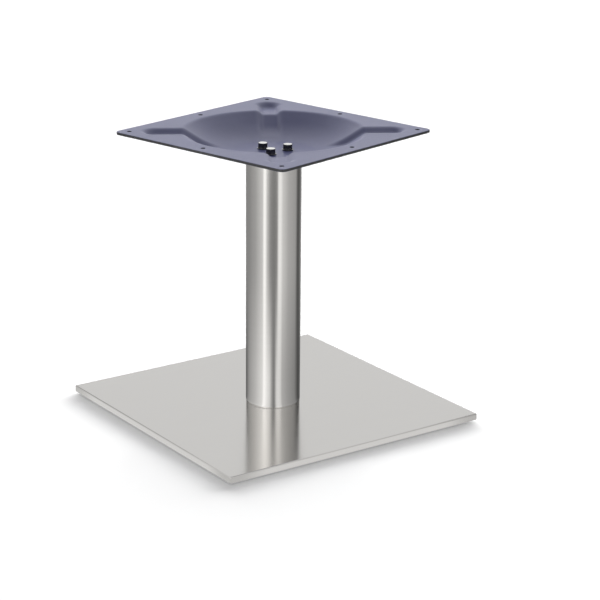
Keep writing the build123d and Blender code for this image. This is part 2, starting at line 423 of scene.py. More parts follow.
def brushed_tube():
    """Hairlines round the girth: the coordinates change fast with height and slowly round the tube."""
    grain = "brushed_tube", (25, 25, 2600), (14, 14, 5)
    tones = (0.58, 0.565, 0.545), (0.66, 0.65, 0.63)
    smear = {"Anisotropic": 0.3, "Anisotropic_Rotation": 0.25}
    material, tree, shader, _ = brushed_steel(*grain, *tones, 0.15, **smear)
    tangent = add(tree, "Tangent", direction_type="RADIAL", axis="Z")
    feed(tree, shader, Tangent=tangent.outputs["Tangent"])
    return material


SHEET = brushed_sheet()
TUBE = brushed_tube()
print(SHEET.name, TUBE.name)

# %% [markdown]
# ## Powder coat
# The plate has a dark blue-grey powder coat. The powder melts into a skin with a fine
# unevenness, like the peel of an orange, which breaks up what it mirrors. Where the sheet faces
# sideways, on its edges, the colour is darkened nearly to black: a painted shade.

# %% Powder coat
def powder_coat():
    """Orange peel is a round noise a millimetre or two across, for roughness and bump. The colour
    drifts a little with the clouds, with a painted shade, near black, where it faces neither up nor
    down."""
    material, tree, shader = start_material("powder_coat", IOR=1.6)
    peel = noise(tree, stretched_place(tree), 700.0)
    coat = tinted(tree, clouds(tree, 16), (0.071, 0.077, 0.167), (0.085, 0.091, 0.19))
    # painted shade: faces that point sideways, such as the sheet's edges, are darkened nearly to black
    colour = tinted(tree, facing_up(tree, 0.2, 0.6), (0.008, 0.008, 0.012), coat)
    feed(tree, shader, Base_Color=colour, Roughness=ranged(tree, peel, 0.3, 0.4))
    bumped(tree, shader, peel, 0.06 * MM)
    return material


COAT = powder_coat()
print(COAT.name)

# %% [markdown]
# ## Fastener steel
# The bolts in the dish are dark on their sides and bright on their tops, by the way each face
# points: a painted shade and a painted highlight. The hidden screws and studs are zinc-plated.
# Both have patches a few millimetres across and a fine grain.

# %% Bolts and plating
def small_steel(name, low, high):
    """Clouds set the roughness, from low to high, and a fine grain the bump. Returns the material with
    its tree, shader and clouds."""
    material, tree, shader = start_material(name, Metallic=1.0)
    patches = clouds(tree, 160)
    feed(tree, shader, Roughness=ranged(tree, patches, low, high))
    bumped(tree, shader, noise(tree, stretched_place(tree), 2600.0), 0.01 * MM)
    return material, tree, shader, patches


def bolt_steel_painted_light():
    """Bolts and washers: a dark painted shade on their sides and a painted highlight where they face up.
    """
    material, tree, shader, patches = small_steel("bolt_steel_painted_light", 0.16, 0.28)
    bright = tinted(tree, patches, (0.78, 0.78, 0.76), (0.9, 0.9, 0.88))
    dark = tinted(tree, patches, (0.03, 0.03, 0.035), (0.07, 0.07, 0.075))
    # painted light: faces that point up get a bright highlight colour, the sides a dark painted shade
    feed(tree, shader, Base_Color=tinted(tree, facing_up(tree, 0.75, 0.95), dark, bright))
    return material


def zinc_plating():
    """Bright plating with a faint warm and cool mottle and rougher dull patches."""
    material, tree, shader, patches = small_steel("zinc_plating", 0.1, 0.22)
    feed(tree, shader, Base_Color=tinted(tree, patches, (0.56, 0.56, 0.55), (0.74, 0.73, 0.69)))
    return material


BOLT = bolt_steel_painted_light()
ZINC = zinc_plating()
print(BOLT.name, ZINC.name)

# %% [markdown]
# ## Plain steel and plastic
# The ballast plate and the discs in the tube are hot-rolled steel, dark or bare. The feet are
# black plastic with the fine texture of their mould.

# %% Plain steel and plastic
def rolled_steel(name, dark, light, low, high):
    """Hot-rolled plate: dark scale in clouds, faint rolling lines and a slightly rough skin."""
    material, tree, shader = start_material(name, Metallic=0.85)
    scale = clouds(tree, 28)
    blend = maths(tree, "MULTIPLY", scale, hairlines(tree, (20, 700, 700))["Line"])
    colour = tinted(tree, blend, dark, light)
    feed(tree, shader, Base_Color=colour, Roughness=ranged(tree, scale, low, high))
    bumped(tree, shader, scale, 0.08 * MM)
    return material


def moulded_plastic():
    """Black polyethylene: a fine spark-eroded mould texture, and a colour that clouds make uneven."""
    material, tree, shader = start_material("moulded_plastic", IOR=1.49)
    grain = noise(tree, stretched_place(tree), 1800.0, 3.0)
    colour = tinted(tree, clouds(tree, 90), (0.012, 0.012, 0.013), (0.028, 0.028, 0.03))
    feed(tree, shader, Base_Color=colour, Roughness=ranged(tree, grain, 0.42, 0.6))
    bumped(tree, shader, grain, 0.04 * MM)
    return material


BARE = rolled_steel("bare_steel", (0.2, 0.195, 0.19), (0.42, 0.41, 0.4), 0.32, 0.5)
BALLAST = rolled_steel("ballast_steel", (0.035, 0.036, 0.04), (0.16, 0.155, 0.15), 0.4, 0.6)
PLASTIC = moulded_plastic()
print(BARE.name, BALLAST.name, PLASTIC.name)

# %% [markdown]
# ## The foot's cover
# The foot is a heavy plate under a thin stainless sheet that is folded down round four sides.
# A cube with a bevel would look close, but the fold is what catches the light, so the sheet's
# own section is drawn, outside and inside, and carried round a square path with small rounded
# corners. The level middle is closed by a few rings that shrink to a point.

# %% Base cover
SMALL_EDGE = 0.2 * MM        # rounding of a sheared or turned edge
JUST_LESS = 1e-5             # keeps the arc of a fold clear of the next corner


def square_path(half, corner, steps=10):
    """A square with rounded corners: four corner centres, each with a quarter circle round it.
    Returns the corner centres and the outward directions, one pair for every point of the path."""
    quarter = np.linspace(0, np.pi / 2, steps + 1)
    angle = (np.arange(4)[:, None] * np.pi / 2 + quarter).ravel()
    signs = np.array([(1, 1), (-1, 1), (-1, -1), (1, -1)], float)
    centres = np.repeat(signs * (half - corner), steps + 1, axis=0)
    return centres, on_circle(angle)


def folded_cover():
    """The sheet's section, as (reach, height) pairs in which reach counts from the corner centres,
    carried round the square path: point = centre + reach * direction. The middle rings scale that.
    A row below the fold and one above the foot keep the side flat in what it mirrors."""
    centres, directions = square_path(BASE_HALF, COVER_CORNER)
    out = COVER_CORNER
    inside = out - COVER_SHEET
    inner_fold = COVER_FOLD - COVER_SHEET
    below_fold = BASE_TOP - COVER_FOLD - 0.3 * MM
    above_foot = SKIRT_FOOT + 0.5 * MM
    section = rounded_line(
        [
            (out - COVER_FOLD, BASE_TOP),
            (out, BASE_TOP),
            (out, below_fold),
            (out, above_foot),
            (out, SKIRT_FOOT),
            (inside, SKIRT_FOOT),
            (inside, BASE_TOP - COVER_SHEET),
            (inside - inner_fold, BASE_TOP - COVER_SHEET),
        ],
        [0, COVER_FOLD - JUST_LESS, 0, 0, SMALL_EDGE, SMALL_EDGE, inner_fold - JUST_LESS, 0],
        steps=8,
    )
    rows = lifted(centres + section[:, None, :1] * directions, section[:, 1:])
    shrink = np.array([[(share, share, 1)] for share in (0.0, 0.12, 0.3, 0.6)])
    return np.concatenate([rows[:1] * shrink, rows, rows[-1:] * shrink[::-1]])


cover_holes = [(FASTENERS, CLEARANCE, BASE_TOP)]
cover = [woven(folded_cover())]
place_piece("base_cover_sheet", cover, SHEET, "base_cover", holes=cover_holes)

# %% [markdown]
# ## The column
# The column is a length of tube, sawn square and deburred. Its section is a thin rectangle with
# tiny rounded corners, turned round the axis with enough steps that its outline stays round.
# Smooth shading blends the normals along a face, so the outer wall gets a row of its own near
# each end. Without them the whole wall would mirror as if it were barrel-shaped.

# %% Column tube
DEBURR = 0.25 * MM
END_ROW = 1 * MM
TUBE_STEPS = 240
tube_section = rounded_line(
    [
        (TUBE_RADIUS, tube_low.z),
        (TUBE_RADIUS, tube_low.z + END_ROW),
        (TUBE_RADIUS, tube_high.z - END_ROW),
        (TUBE_RADIUS, tube_high.z),
        (TUBE_RADIUS - TUBE_WALL, tube_high.z),
        (TUBE_RADIUS - TUBE_WALL, tube_low.z),
    ],
    [DEBURR, 0, 0, DEBURR, DEBURR, DEBURR],
    steps=4,
)
tube = [woven(turned(tube_section, TUBE_STEPS), wrap_rows=True)]
place_piece("column_tube_wall", tube, TUBE, "column_tube")

# %% [markdown]
# ## The pressed top plate
# One sheet is pressed into a shallow dish with a channel running out to each corner. Modelling
# that face by face would be slow, and it is really one height over the plan, so it is written
# as a formula. A wall that drops from one level to another, with a rounding at its lip and one
# at its foot, describes the dish by the distance from its rim and a channel by the distance
# from its edge. Where both drop, the depths add up, so each channel runs on down the wall of the
# dish as a groove, and it fades out where the wall meets the floor, as pressed steel does.

# %% Pressed height
PLATE_HALF = 160 * MM
PLATE_TURN = math.radians(13.7)
PLATE_CORNER = 8 * MM
DISH_RADIUS = 130 * MM
DISH_DEPTH = RIM - DISH_FLOOR
DISH_SLOPE = math.radians(33)
BOWL_RADIUS = 110 * MM
LIP_RADIUS = 12 * MM
HOLE_REACH = 145 * MM        # fixing holes from the middle lines of the plate
HOLE_RADIUS = 3.5 * MM
CHANNEL_HALF = 17 * MM
CHANNEL_DEPTH = 6.5 * MM
CHANNEL_SLOPE = math.radians(45)
CHANNEL_FOOT = 5 * MM
CHANNEL_END = HOLE_REACH * math.sqrt(2) - 20 * MM
GROOVE_FULL = 112 * MM       # distance from the middle at which a channel's groove has its full depth
GROOVE_FADES = 72 * MM       # and at which it is gone


def rounded_drop(inside, depth, slope, lip, foot):
    """Depth below the rim at a distance inside the sharp edge: level outside, then an arc of radius
    lip, a straight wall at the slope, an arc of radius foot and a level floor at the depth."""
    lip_run = lip * math.tan(slope / 2)
    foot_run = foot * math.tan(slope / 2)
    foot_edge = depth / math.tan(slope)
    on_lip = lip - np.sqrt(np.maximum(lip**2 - (inside + lip_run) ** 2, 0))
    on_foot = depth - foot + np.sqrt(np.maximum(foot**2 - (foot_edge + foot_run - inside) ** 2, 0))
    return np.select(
        [
            inside < -lip_run,
            inside < lip_run * math.cos(slope),
            inside < foot_edge - foot_run * math.cos(slope),
            inside < foot_edge + foot_run,
        ],
        [0 * inside, on_lip, inside * math.tan(slope), on_foot],
        depth,
    )


def pressed_depth(x, y):
    """Depth of the plate's upper face: the sum of the dish and the channels, where a channel fades by
    the curve t * t * (3 - 2 * t) at the foot of the dish's wall."""
    distance = np.hypot(x, y)
    dish = rounded_drop(DISH_RADIUS - distance, DISH_DEPTH, DISH_SLOPE, LIP_RADIUS, BOWL_RADIUS)
    t = np.clip((distance - GROOVE_FADES) / (GROOVE_FULL - GROOVE_FADES), 0, 1)
    along = (np.abs(x) + np.abs(y)) / math.sqrt(2)
    across = (np.abs(x) - np.abs(y)) / math.sqrt(2)
    spine = np.clip(along, GROOVE_FADES, CHANNEL_END - CHANNEL_HALF)
    inside = CHANNEL_HALF - np.hypot(along - spine, across)
    channel = rounded_drop(inside, CHANNEL_DEPTH, CHANNEL_SLOPE, LIP_RADIUS, CHANNEL_FOOT)
    return dish + channel * t * t * (3 - 2 * t)


print("depth at the middle", round(float(pressed_depth(np.zeros(1), np.zeros(1))[0]), 4))

# %% [markdown]
# The sheet is a net of rings. Near the dish they are circles, so its rim is smooth, and towards
# the edge they bend over to the rounded square of the plate. The underside is the upper face
# moved by the sheet's thickness along its own normal, which is how a real pressing comes out:
# the same thickness everywhere. The holes are drilled last.

# %% Plate net
RING_STEPS = 360
PLATE_BRINK = 0.6 * MM       # rounding of the sheet's edge
WALL_FROM, WALL_TO, LAST_CIRCLE = 51, 110, 137    # rings in millimetres from the middle


def square_reach(angle, half, corner):
    """Distance from the middle to a rounded square in a direction: to the straight side, half over
    the larger cosine, or else to the corner circle by the quadratic formula."""
    c = np.abs(np.stack([np.cos(angle), np.sin(angle)]))
    to_side = half / c.max(axis=0)
    along = (half - corner) * c.sum(axis=0)
    to_arc = along + np.sqrt(np.maximum(along**2 - 2 * (half - corner) ** 2 + corner**2, 0))
    return np.where(to_side * c.min(axis=0) <= half - corner, to_side, to_arc)


def ring_reaches(angle):
    """Distance of every point of the upper face from the middle, in rings that are circles out to the
    last circle and then bend over to the plate's edge in equal steps."""
    floor_rings = np.array([0, 14, 28, 42])
    wall_rings = np.linspace(WALL_FROM, WALL_TO, 28, endpoint=False)
    lip_rings = np.linspace(WALL_TO, LAST_CIRCLE, 20)
    radii = np.concatenate([floor_rings, wall_rings, lip_rings]) * MM
    circles = np.repeat(radii[:, None], len(angle), 1)
    edge = square_reach(angle, PLATE_HALF - PLATE_BRINK, PLATE_CORNER - PLATE_BRINK)
    outer = np.linspace(0, 1, 42)[1:, None]
    last = LAST_CIRCLE * MM
    return np.concatenate([circles, last + outer * (edge - last)])


def plate_brim(angle, ring):
    """Rows round the edge of the sheet: a quarter circle at its upper and at its lower brink."""
    bend = np.linspace(0, np.pi / 2, 5)[1:]
    outward = np.concatenate([np.sin(bend), np.cos(bend)]) * PLATE_BRINK - PLATE_BRINK
    upper_drop = PLATE_BRINK * (1 - np.cos(bend))
    lower_drop = PLATE_SHEET - PLATE_BRINK * (1 - np.sin(bend))
    drop = np.concatenate([upper_drop, lower_drop])
    reach = square_reach(angle, PLATE_HALF, PLATE_CORNER) + outward[:, None]
    return lifted(reach[..., None] * ring, RIM - drop[:, None])


def plate_surface():
    """Rows of rings from the middle of the upper face out to the edge, round it and back below. The
    normal comes from the slopes of the pressed depth along X and Y, taken over a small step."""
    angle = full_turn(RING_STEPS)
    ring = on_circle(angle)
    reach = ring_reaches(angle)
    x = reach * ring[:, 0]
    y = reach * ring[:, 1]
    step = 0.02 * MM
    slope_x = (pressed_depth(x + step, y) - pressed_depth(x - step, y)) / (2 * step)
    slope_y = (pressed_depth(x, y + step) - pressed_depth(x, y - step)) / (2 * step)
    normal = np.stack([slope_x, slope_y, np.ones_like(x)], axis=-1)
    normal /= np.linalg.norm(normal, axis=-1, keepdims=True)
    upper = lifted(reach[..., None] * ring, RIM - pressed_depth(x, y))
    lower = upper - PLATE_SHEET * normal
    return np.concatenate([upper, plate_brim(angle, ring), lower[::-1]])


print("rings on the upper face:", len(ring_reaches(np.zeros(1))))

# %% [markdown]
# The net is made square to the axes, where its formulas are simplest. The plate sits on the
# column at an angle to the foot, so net and holes are turned together.

# %% Top plate
def turned_plan(points, turn):
    """Points turned about the upright axis by an angle."""
    c, s = math.cos(turn), math.sin(turn)
    out = points.copy()
    out[..., 0] = c * points[..., 0] - s * points[..., 1]
    out[..., 1] = s * points[..., 0] + c * points[..., 1]
    return out


hole_grid = np.array([(i, j) for i in (-1, 0, 1) for j in (-1, 0, 1) if i or j], float)
fixing_centres = turned_plan(hole_grid * HOLE_REACH, PLATE_TURN)
plate_holes = [(fixing_centres, HOLE_RADIUS, RIM), (FASTENERS, CLEARANCE, DISH_FLOOR)]
plate = [woven(turned_plan(plate_surface(), PLATE_TURN))]
place_piece("top_plate_pressing", plate, COAT, "top_plate", holes=plate_holes)

# %% [markdown]
# ## Threaded parts
# Bolts, screws and studs share a thread. A thread is not rings but one ridge that climbs, so the
# radius depends on height and angle together: the ridge's phase is the height over the pitch
# less the angle over a full turn. The construction model has plain shanks; the ridge stays
# inside them.

# %% Thread
THREAD_RADIUS = 4 * MM
PITCH = 1.25 * MM
RIDGE = 0.68 * MM
POINT = 1 * MM               # length of the cone at the end of a thread
THREAD_STEP = 0.1 * MM       # from a head to the first row of its thread
STEPS = 72
PITCH_ROWS = 7


def thread_rows(low, high, point_low=False, point_high=False):
    """Rows of a threaded shank between two heights. With p = height / pitch - angle / full turn, the
    radius is the outer one less the ridge times a triangle wave of p with a flattened crest. A point
    is a short cone, and an end without a point fades into a plain shank."""
    height = np.linspace(low, high, int((high - low) / PITCH * PITCH_ROWS) + 2)[:, None]
    phase = (height / PITCH - full_turn(STEPS) / (2 * np.pi)) % 1
    wave = np.clip(np.abs(2 * phase - 1) * 1.25 - 0.12, 0, 1)
    fade_low = np.clip((height - low) / PITCH, 0, 1) if not point_low else 1
    fade_high = np.clip((high - height) / PITCH, 0, 1) if not point_high else 1
    radius = THREAD_RADIUS - RIDGE * wave * np.minimum(fade_low, fade_high)
    if point_low:
        radius = np.minimum(radius, THREAD_RADIUS - POINT + (height - low))
    if point_high:
        radius = np.minimum(radius, THREAD_RADIUS - POINT + (high - height))
    return radius, np.broadcast_to(height, radius.shape)


def rows_to_points(radius, height, turn, centre):
    """Points of rows given as radius and height over equal angles, turned and moved to a centre."""
    return lifted(radius[..., None] * on_circle(full_turn(STEPS) + turn) + centre, height)


def even_rows(*pairs):
    """Rows of full circles from (radius, height) pairs."""
    pairs = np.asarray(pairs, float)
    return np.repeat(pairs[:, :1], STEPS, 1), np.repeat(pairs[:, 1:], STEPS, 1)


def hex_radius(flats):
    """Radius of a hexagon over the angle: half the width across flats over the cosine of the angle
    from the nearest flat."""
    return flats / 2 / np.cos((full_turn(STEPS) + np.pi / 6) % (np.pi / 3) - np.pi / 6)


def stacked(*blocks):
    """Several (radius, height) row blocks, one under the other."""
    return np.concatenate([b[0] for b in blocks]), np.concatenate([b[1] for b in blocks])


def three_of(rows, turns):
    """The same rows at the three places of the column's fasteners, each with its own turn."""
    places = zip(turns, FASTENERS)
    return [woven(rows_to_points(*rows, turn, centre)) for turn, centre in places]


print("thread of radius", THREAD_RADIUS, "and pitch", PITCH)

# %% [markdown]
# ## Bolts in the dish
# Three hex bolts hold the plate to the disc in the column. A hex head is a hexagon whose upper
# corners were turned off on a lathe. So the radius of its rows is the smaller of the hexagon's
# and a cone's, which draws the curved edge between them without any cutting.

# %% Hex bolts
BOLT_LENGTH = 20 * MM
HEAD_FLATS = 13 * MM
HEAD_HEIGHT = 5.3 * MM
HEAD_CONE = 1.1 * MM         # height of the part that the cone cuts
HEAD_INSET = 0.25 * MM       # from the flats in to the circle at the top
HEAD_TURN = math.radians(38)


def hex_bolt_rows(under_head):
    """From the point up: thread, underside, hexagon and a top edge cut by a 45 degree cone."""
    six = hex_radius(HEAD_FLATS)
    tip = under_head - BOLT_LENGTH
    top = under_head + HEAD_HEIGHT
    z = np.concatenate([[under_head + SMALL_EDGE], np.linspace(top - HEAD_CONE, top, 9)])[:, None]
    head = np.minimum(six, HEAD_FLATS / 2 - HEAD_INSET + (top - z))
    return stacked(
        even_rows((0, tip)),
        thread_rows(tip, under_head, point_low=True),
        (six[None] - SMALL_EDGE, np.full((1, STEPS), under_head)),
        (head, np.repeat(z, STEPS, 1)),
        even_rows((HEAD_FLATS / 2 - 2 * HEAD_INSET, top), (0, top)),
    )


bolt_rows = hex_bolt_rows(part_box("top_bolts")[0].z + BOLT_LENGTH)
bolts = three_of(bolt_rows, FASTENER_TURNS + HEAD_TURN)
place_piece("top_hex_bolts", bolts, BOLT, "top_bolts")

# %% [markdown]
# ## Screws under the foot
# Three countersunk screws come up through the ballast plate into the lower disc of the column.
# Their heads lie flush, with a hexagon socket in them. The rows start on the socket's floor and
# run out over the head, so socket, head and thread are one surface.

# %% Countersunk screws
SCREW_LENGTH = 20 * MM
SUNK_RADIUS = 8 * MM
SUNK_HEIGHT = 4 * MM
SUNK_EDGE = 0.15 * MM, 0.12 * MM    # across and up
SOCKET_FLATS = 5 * MM
SOCKET_DEPTH = 2.6 * MM
SOCKET_POINT = 3 * MM        # depth of the drill's point in the socket's floor


def sunk_screw_rows(head):
    """From the socket's floor out over the flat head, up its cone, the thread and the point."""
    socket = hex_radius(SOCKET_FLATS)[None]
    level = np.full((1, STEPS), head)
    tip = head + SCREW_LENGTH
    cone_end = head + SUNK_HEIGHT
    across, up = SUNK_EDGE
    return stacked(
        even_rows((0, head + SOCKET_POINT)),
        (socket, level + SOCKET_DEPTH),
        (socket, level + SMALL_EDGE),
        (socket + SMALL_EDGE, level),
        even_rows((SUNK_RADIUS - across, head), (SUNK_RADIUS, head + up), (THREAD_RADIUS, cone_end)),
        thread_rows(cone_end + THREAD_STEP, tip, point_high=True),
        even_rows((0, tip)),
    )


screw_rows = sunk_screw_rows(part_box("base_screws")[0].z)
place_piece("base_sunk_screws", three_of(screw_rows, np.zeros(3)), ZINC, "base_screws")

# %% [markdown]
# ## Washers
# A plain washer is a turned ring with edges softened by stamping. The spring washer is the same
# kind of ring with a narrow cut through it, so its section is carried round only part of the
# circle, and each end is closed by shrinking the last section to its middle.

# %% Washers
WASHER_HOLE = 4.2 * MM
WASHER_RADIUS = 8 * MM
WASHER_EDGE = 0.15 * MM
SPRING_RADIUS = 7 * MM
SPRING_SPLIT = 1.2 * MM


def ring_section(node, outer, edge):
    """Section of a flat ring as a closed line of (radius, height) pairs, between a node's heights."""
    low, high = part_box(node)
    corners = [(outer, low.z), (outer, high.z), (WASHER_HOLE, high.z), (WASHER_HOLE, low.z)]
    return rounded_line(corners, [edge] * 4, steps=3)


def split_ring(section, split, turn, centre, steps=60):
    """A section carried round the axis except over a split of given width, with both ends closed."""
    half = split / 2 / section[:, 0].mean()
    sweep = np.linspace(half, 2 * np.pi - half, steps)
    angle = np.concatenate([sweep[:1], sweep, sweep[-1:]]) + turn
    loop = np.repeat(section[None], len(angle), 0)
    loop[[0, -1]] = section.mean(axis=0)
    return lifted(loop[..., :1] * on_circle(angle)[:, None] + centre, loop[..., 1])


washer = ring_section("top_flat_washers", WASHER_RADIUS, WASHER_EDGE)
washers = [woven(turned(washer, STEPS, centre), wrap_rows=True) for centre in FASTENERS]
place_piece("top_plain_washers", washers, BOLT, "top_flat_washers")

spring = ring_section("top_spring_washers", SPRING_RADIUS, SMALL_EDGE)
places = zip(FASTENER_TURNS, FASTENERS)
springs = [woven(split_ring(spring, SPRING_SPLIT, turn, centre)) for turn, centre in places]
place_piece("top_split_washers", springs, BOLT, "top_spring_washers")

# %% [markdown]
# ## Levelling feet
# Under the foot are four screw feet: a black plastic pad moulded round the flat head of a
# threaded stud. They are separate pieces because each one screws out by itself, so each pad and
# stud rides on the body of its own foot.

# %% Feet
STUD_HEAD = 7 * MM
STUD_HEAD_THICK = 1.4 * MM
STUD_LENGTH = 7.5 * MM
RECESS_RADIUS = STUD_HEAD + 0.05 * MM
PAD_ROUNDINGS = [0, 0.8 * MM, 0.3 * MM, 0.1 * MM, 0, 0]


def stud_rows(pad_top):
    """A flat round head with the thread standing on it."""
    tip = pad_top + STUD_LENGTH
    under = pad_top - STUD_HEAD_THICK
    flat = STUD_HEAD - SMALL_EDGE
    return stacked(
        even_rows((0, under), (flat, under), (STUD_HEAD, under + SMALL_EDGE)),
        even_rows((STUD_HEAD, pad_top - SMALL_EDGE), (flat, pad_top), (THREAD_RADIUS, pad_top)),
        thread_rows(pad_top + THREAD_STEP, tip, point_high=True),
        even_rows((0, tip)),
    )


for number in range(1, 5):
    foot = f"foot_{number}"
    low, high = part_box(f"{foot}_pad")
    middle = np.array([(low.x + high.x) / 2, (low.y + high.y) / 2])
    reach = (high.x - low.x) / 2
    recess = high.z - STUD_HEAD_THICK
    outside = [(0, low.z), (reach, low.z), (reach, high.z)]
    hollow = [(RECESS_RADIUS, high.z), (RECESS_RADIUS, recess), (0, recess)]
    section = rounded_line(outside + hollow, PAD_ROUNDINGS)
    pad = [woven(turned(section, STEPS, middle))]
    stud = [woven(rows_to_points(*stud_rows(high.z), 0, middle))]
    place_piece(f"{foot}_plastic_pad", pad, PLASTIC, f"{foot}_pad", foot)
    place_piece(f"{foot}_threaded_stud", stud, ZINC, f"{foot}_stud", foot)

# %% [markdown]
# ## Pieces kept as they are
# The ballast plate and the two discs inside the tube are plain cut steel, and the
# construction model already has their shape. They only get their finish.

# %% Finishes on kept pieces
KEPT = {"ballast_plate": BALLAST, "column_foot_flange": BARE, "column_head_flange": BARE}
for node, material in KEPT.items():
    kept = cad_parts[node]
    for slot in kept.material_slots:
        slot.material = material
    print(node, "gets", material.name)

# %% [markdown]
# ## The floor
# The object stands on white paper that runs on out of sight. A studio lights its paper more than
# the object, so that it comes out white. Here a part of its white is a glow of its own instead.

# %% Paper floor
FLOOR_HALF = 6.0
PAPER_GLOW = 0.26
PAPER_MIRRORED = 1.14


def quad_sheet(name, corners, material, wrap=False):
    """A stage sheet from rows of points, not part of the object."""
    points, faces = woven(np.asarray(corners, float), wrap_columns=wrap)
    mesh = bpy.data.meshes.new(name)
    mesh.from_pydata(points.tolist(), [], faces.tolist())
    mesh.materials.append(material)
    sheet = bpy.data.objects.new(name, mesh)
    bpy.context.scene.collection.objects.link(sheet)
    return sheet


def paper():
    """White paper. To the eye a part of its white is its own, so it stays white beside the shadow. In
    reflections all of it is, so that bright steel shows it as one even white."""
    material, tree, shader = start_material(
        "paper", Roughness=1.0, Specular_IOR_Level=0.0, Emission_Color=(1, 1, 1, 1)
    )
    grain = noise(tree, stretched_place(tree), 30.0)
    white = tinted(tree, grain, (0.79, 0.79, 0.79), (0.81, 0.81, 0.81))
    path = add(tree, "LightPath").outputs
    mirrored = maths(tree, "MULTIPLY", path["Is Glossy Ray"], PAPER_MIRRORED)
    glow = maths(tree, "MULTIPLY_ADD", path["Is Camera Ray"], PAPER_GLOW, mirrored)
    seen = tinted(tree, path["Is Glossy Ray"], white, (0, 0, 0))
    feed(tree, shader, Base_Color=seen, Emission_Strength=glow)
    return material


square = np.array([[(-1, -1, 0), (1, -1, 0)], [(-1, 1, 0), (1, 1, 0)]])
floor = quad_sheet("floor", FLOOR_HALF * square, paper())
print("floor half side", FLOOR_HALF)

# %% [markdown]
# ## What the steel mirrors
# Polished steel shows its surroundings more than itself, so a studio sets cards round it: white
# ones give the bright stripes on the column and dark ones the bands between them. The greys are
# a short list by direction, seen from the middle of the floor, with the camera at zero.

# %% Card tones
CAMERA_PLACE = Vector((-1.6083, -2.3604, 1.0944))
HEADING = math.atan2(CAMERA_PLACE.y, CAMERA_PLACE.x)
CARD_PEAK = 1.5
FAR_TONE, NEAR_TONE = 1, 2
CARD_TONES = [  # direction from the camera in degrees, brightness far out, brightness near the foot
    (-180, 0.6, 0.3),     # open back
    (-150, 0.31, 0.14),   # black flag on the left
    (-118, 0.38, 0.48),   # grey board, brighter to the front
    (-80, 0.53, 0.74),
    (-45, 0.88, 1.12),
    (-41, 1.5, 1.5),      # left bright strip
    (-34, 1.5, 1.5),
    (-27, 0.85, 1.28),
    (-14, 0.4, 1.0),      # dark gap in which the camera stands
    (-3, 0.31, 0.42),
    (5, 0.3, 0.26),
    (15, 0.36, 1.0),
    (22, 1.28, 1.1),      # right bright strip
    (31, 1.28, 1.0),
    (38, 0.92, 0.65),     # grey board, darker to the back
    (65, 0.61, 0.48),
    (104, 0.49, 0.34),
    (118, 0.13, 0.18),    # black flag on the right
    (133, 0.13, 0.08),
    (180, 0.6, 0.3),
]


def tone_ramp(tree, direction, column):
    """The tones of one column of the list, by the direction as a share of the full turn."""
    ramp = add(tree, "ValToRGB", {"Fac": direction})
    stops = ramp.color_ramp.elements
    stops.remove(stops[-1])
    for index, row in enumerate(CARD_TONES):
        position = row[0] / 360 + 0.5
        stop = stops[0] if index == 0 else stops.new(position)
        stop.position = position
        grey = row[column] / CARD_PEAK
        stop.color = (grey, grey, grey, 1)
    return ramp.outputs["Color"]


print(len(CARD_TONES), "tones, camera heading", round(math.degrees(HEADING), 2))

# %% [markdown]
# The camera looks down, so what the column mirrors lies low: a level card round its foot. The
# column's own image in the foot looks up instead, to a card that stands round it and is open at
# the back. A column bends what it mirrors, so the tones are drawn bent the other way, like an
# old mirror puzzle. Only reflections see the cards, from one side, so they cast no shadow and
# light nothing else.

# %% Card glow
TONES_NEAR = 0.17            # distances from the axis between which the near tones turn to the far ones
TONES_FAR = 0.7


def mirrored_direction(tree, distance, turn):
    """The direction that the column mirrors into a point. With R the column's radius, and r and f the
    point's distance and direction from the axis, it is f + asin(R / r * sin(half of it)). The formula
    is used twice, the first time with f itself on its right side."""
    share = maths(tree, "DIVIDE", TUBE_RADIUS, distance)
    seen = turn
    for _ in range(2):
        half = maths(tree, "MULTIPLY", maths(tree, "ADD", seen, -0.5), math.pi)
        part = maths(tree, "MULTIPLY", maths(tree, "SINE", half), share)
        bend = maths(tree, "ARCSINE", part)
        seen = maths(tree, "MULTIPLY_ADD", bend, 0.5 / math.pi, turn)
    return seen


def card_glow(name, near_only, strength):
    """Emission in the tones of the list on the front side of a card; its back is clear."""
    material, tree = empty_material(name)
    place = stretched_place(tree, (1, 1, 0), (0, 0, -HEADING))
    turn = add(tree, "TexGradient", {"Vector": place}, gradient_type="RADIAL").outputs["Fac"]
    distance = add(tree, "VectorMath", {0: place}, operation="LENGTH").outputs["Value"]
    direction = mirrored_direction(tree, distance, turn)
    colour = tone_ramp(tree, direction, NEAR_TONE)
    if not near_only:
        fade = ranged(tree, distance, 0.0, 1.0, TONES_NEAR, TONES_FAR)
        colour = tinted(tree, fade, colour, tone_ramp(tree, direction, FAR_TONE))
    glow = add(tree, "Emission", {"Color": colour, "Strength": strength * CARD_PEAK}).outputs["Emission"]
    clear = add(tree, "BsdfTransparent").outputs["BSDF"]
    back = add(tree, "NewGeometry").outputs["Backfacing"]
    shown = add(tree, "MixShader", {"Fac": back, 1: glow, 2: clear})
    add(tree, "OutputMaterial", {"Surface": shown.outputs["Shader"]})
    return material


LEVEL_GLOW = card_glow("level_card", False, 1.0)
WALL_GLOW = card_glow("wall_card", True, 1.6)
print(LEVEL_GLOW.name, WALL_GLOW.name)

# %% [markdown]
# The level card lies just above the foot and faces up: the column mirrors it, and the foot's top
# looks through its clear back. The standing card faces in and hangs clear of the floor.

# %% Cards
CARD_HEIGHT = BASE_TOP + 2 * MM
CARD_REACH = 5.0
CARD_INNER = TUBE_RADIUS + 1 * MM
WALL_REACH = 0.9
WALL_LOW, WALL_HIGH = 0.24, 0.85
WALL_TURN = 150              # degrees from the camera to where the standing card ends
WALL_STEPS = 61

level_rings = turned([(CARD_REACH, CARD_HEIGHT), (CARD_INNER, CARD_HEIGHT)], 90)
level_card = quad_sheet("level_card", level_rings, LEVEL_GLOW, True)

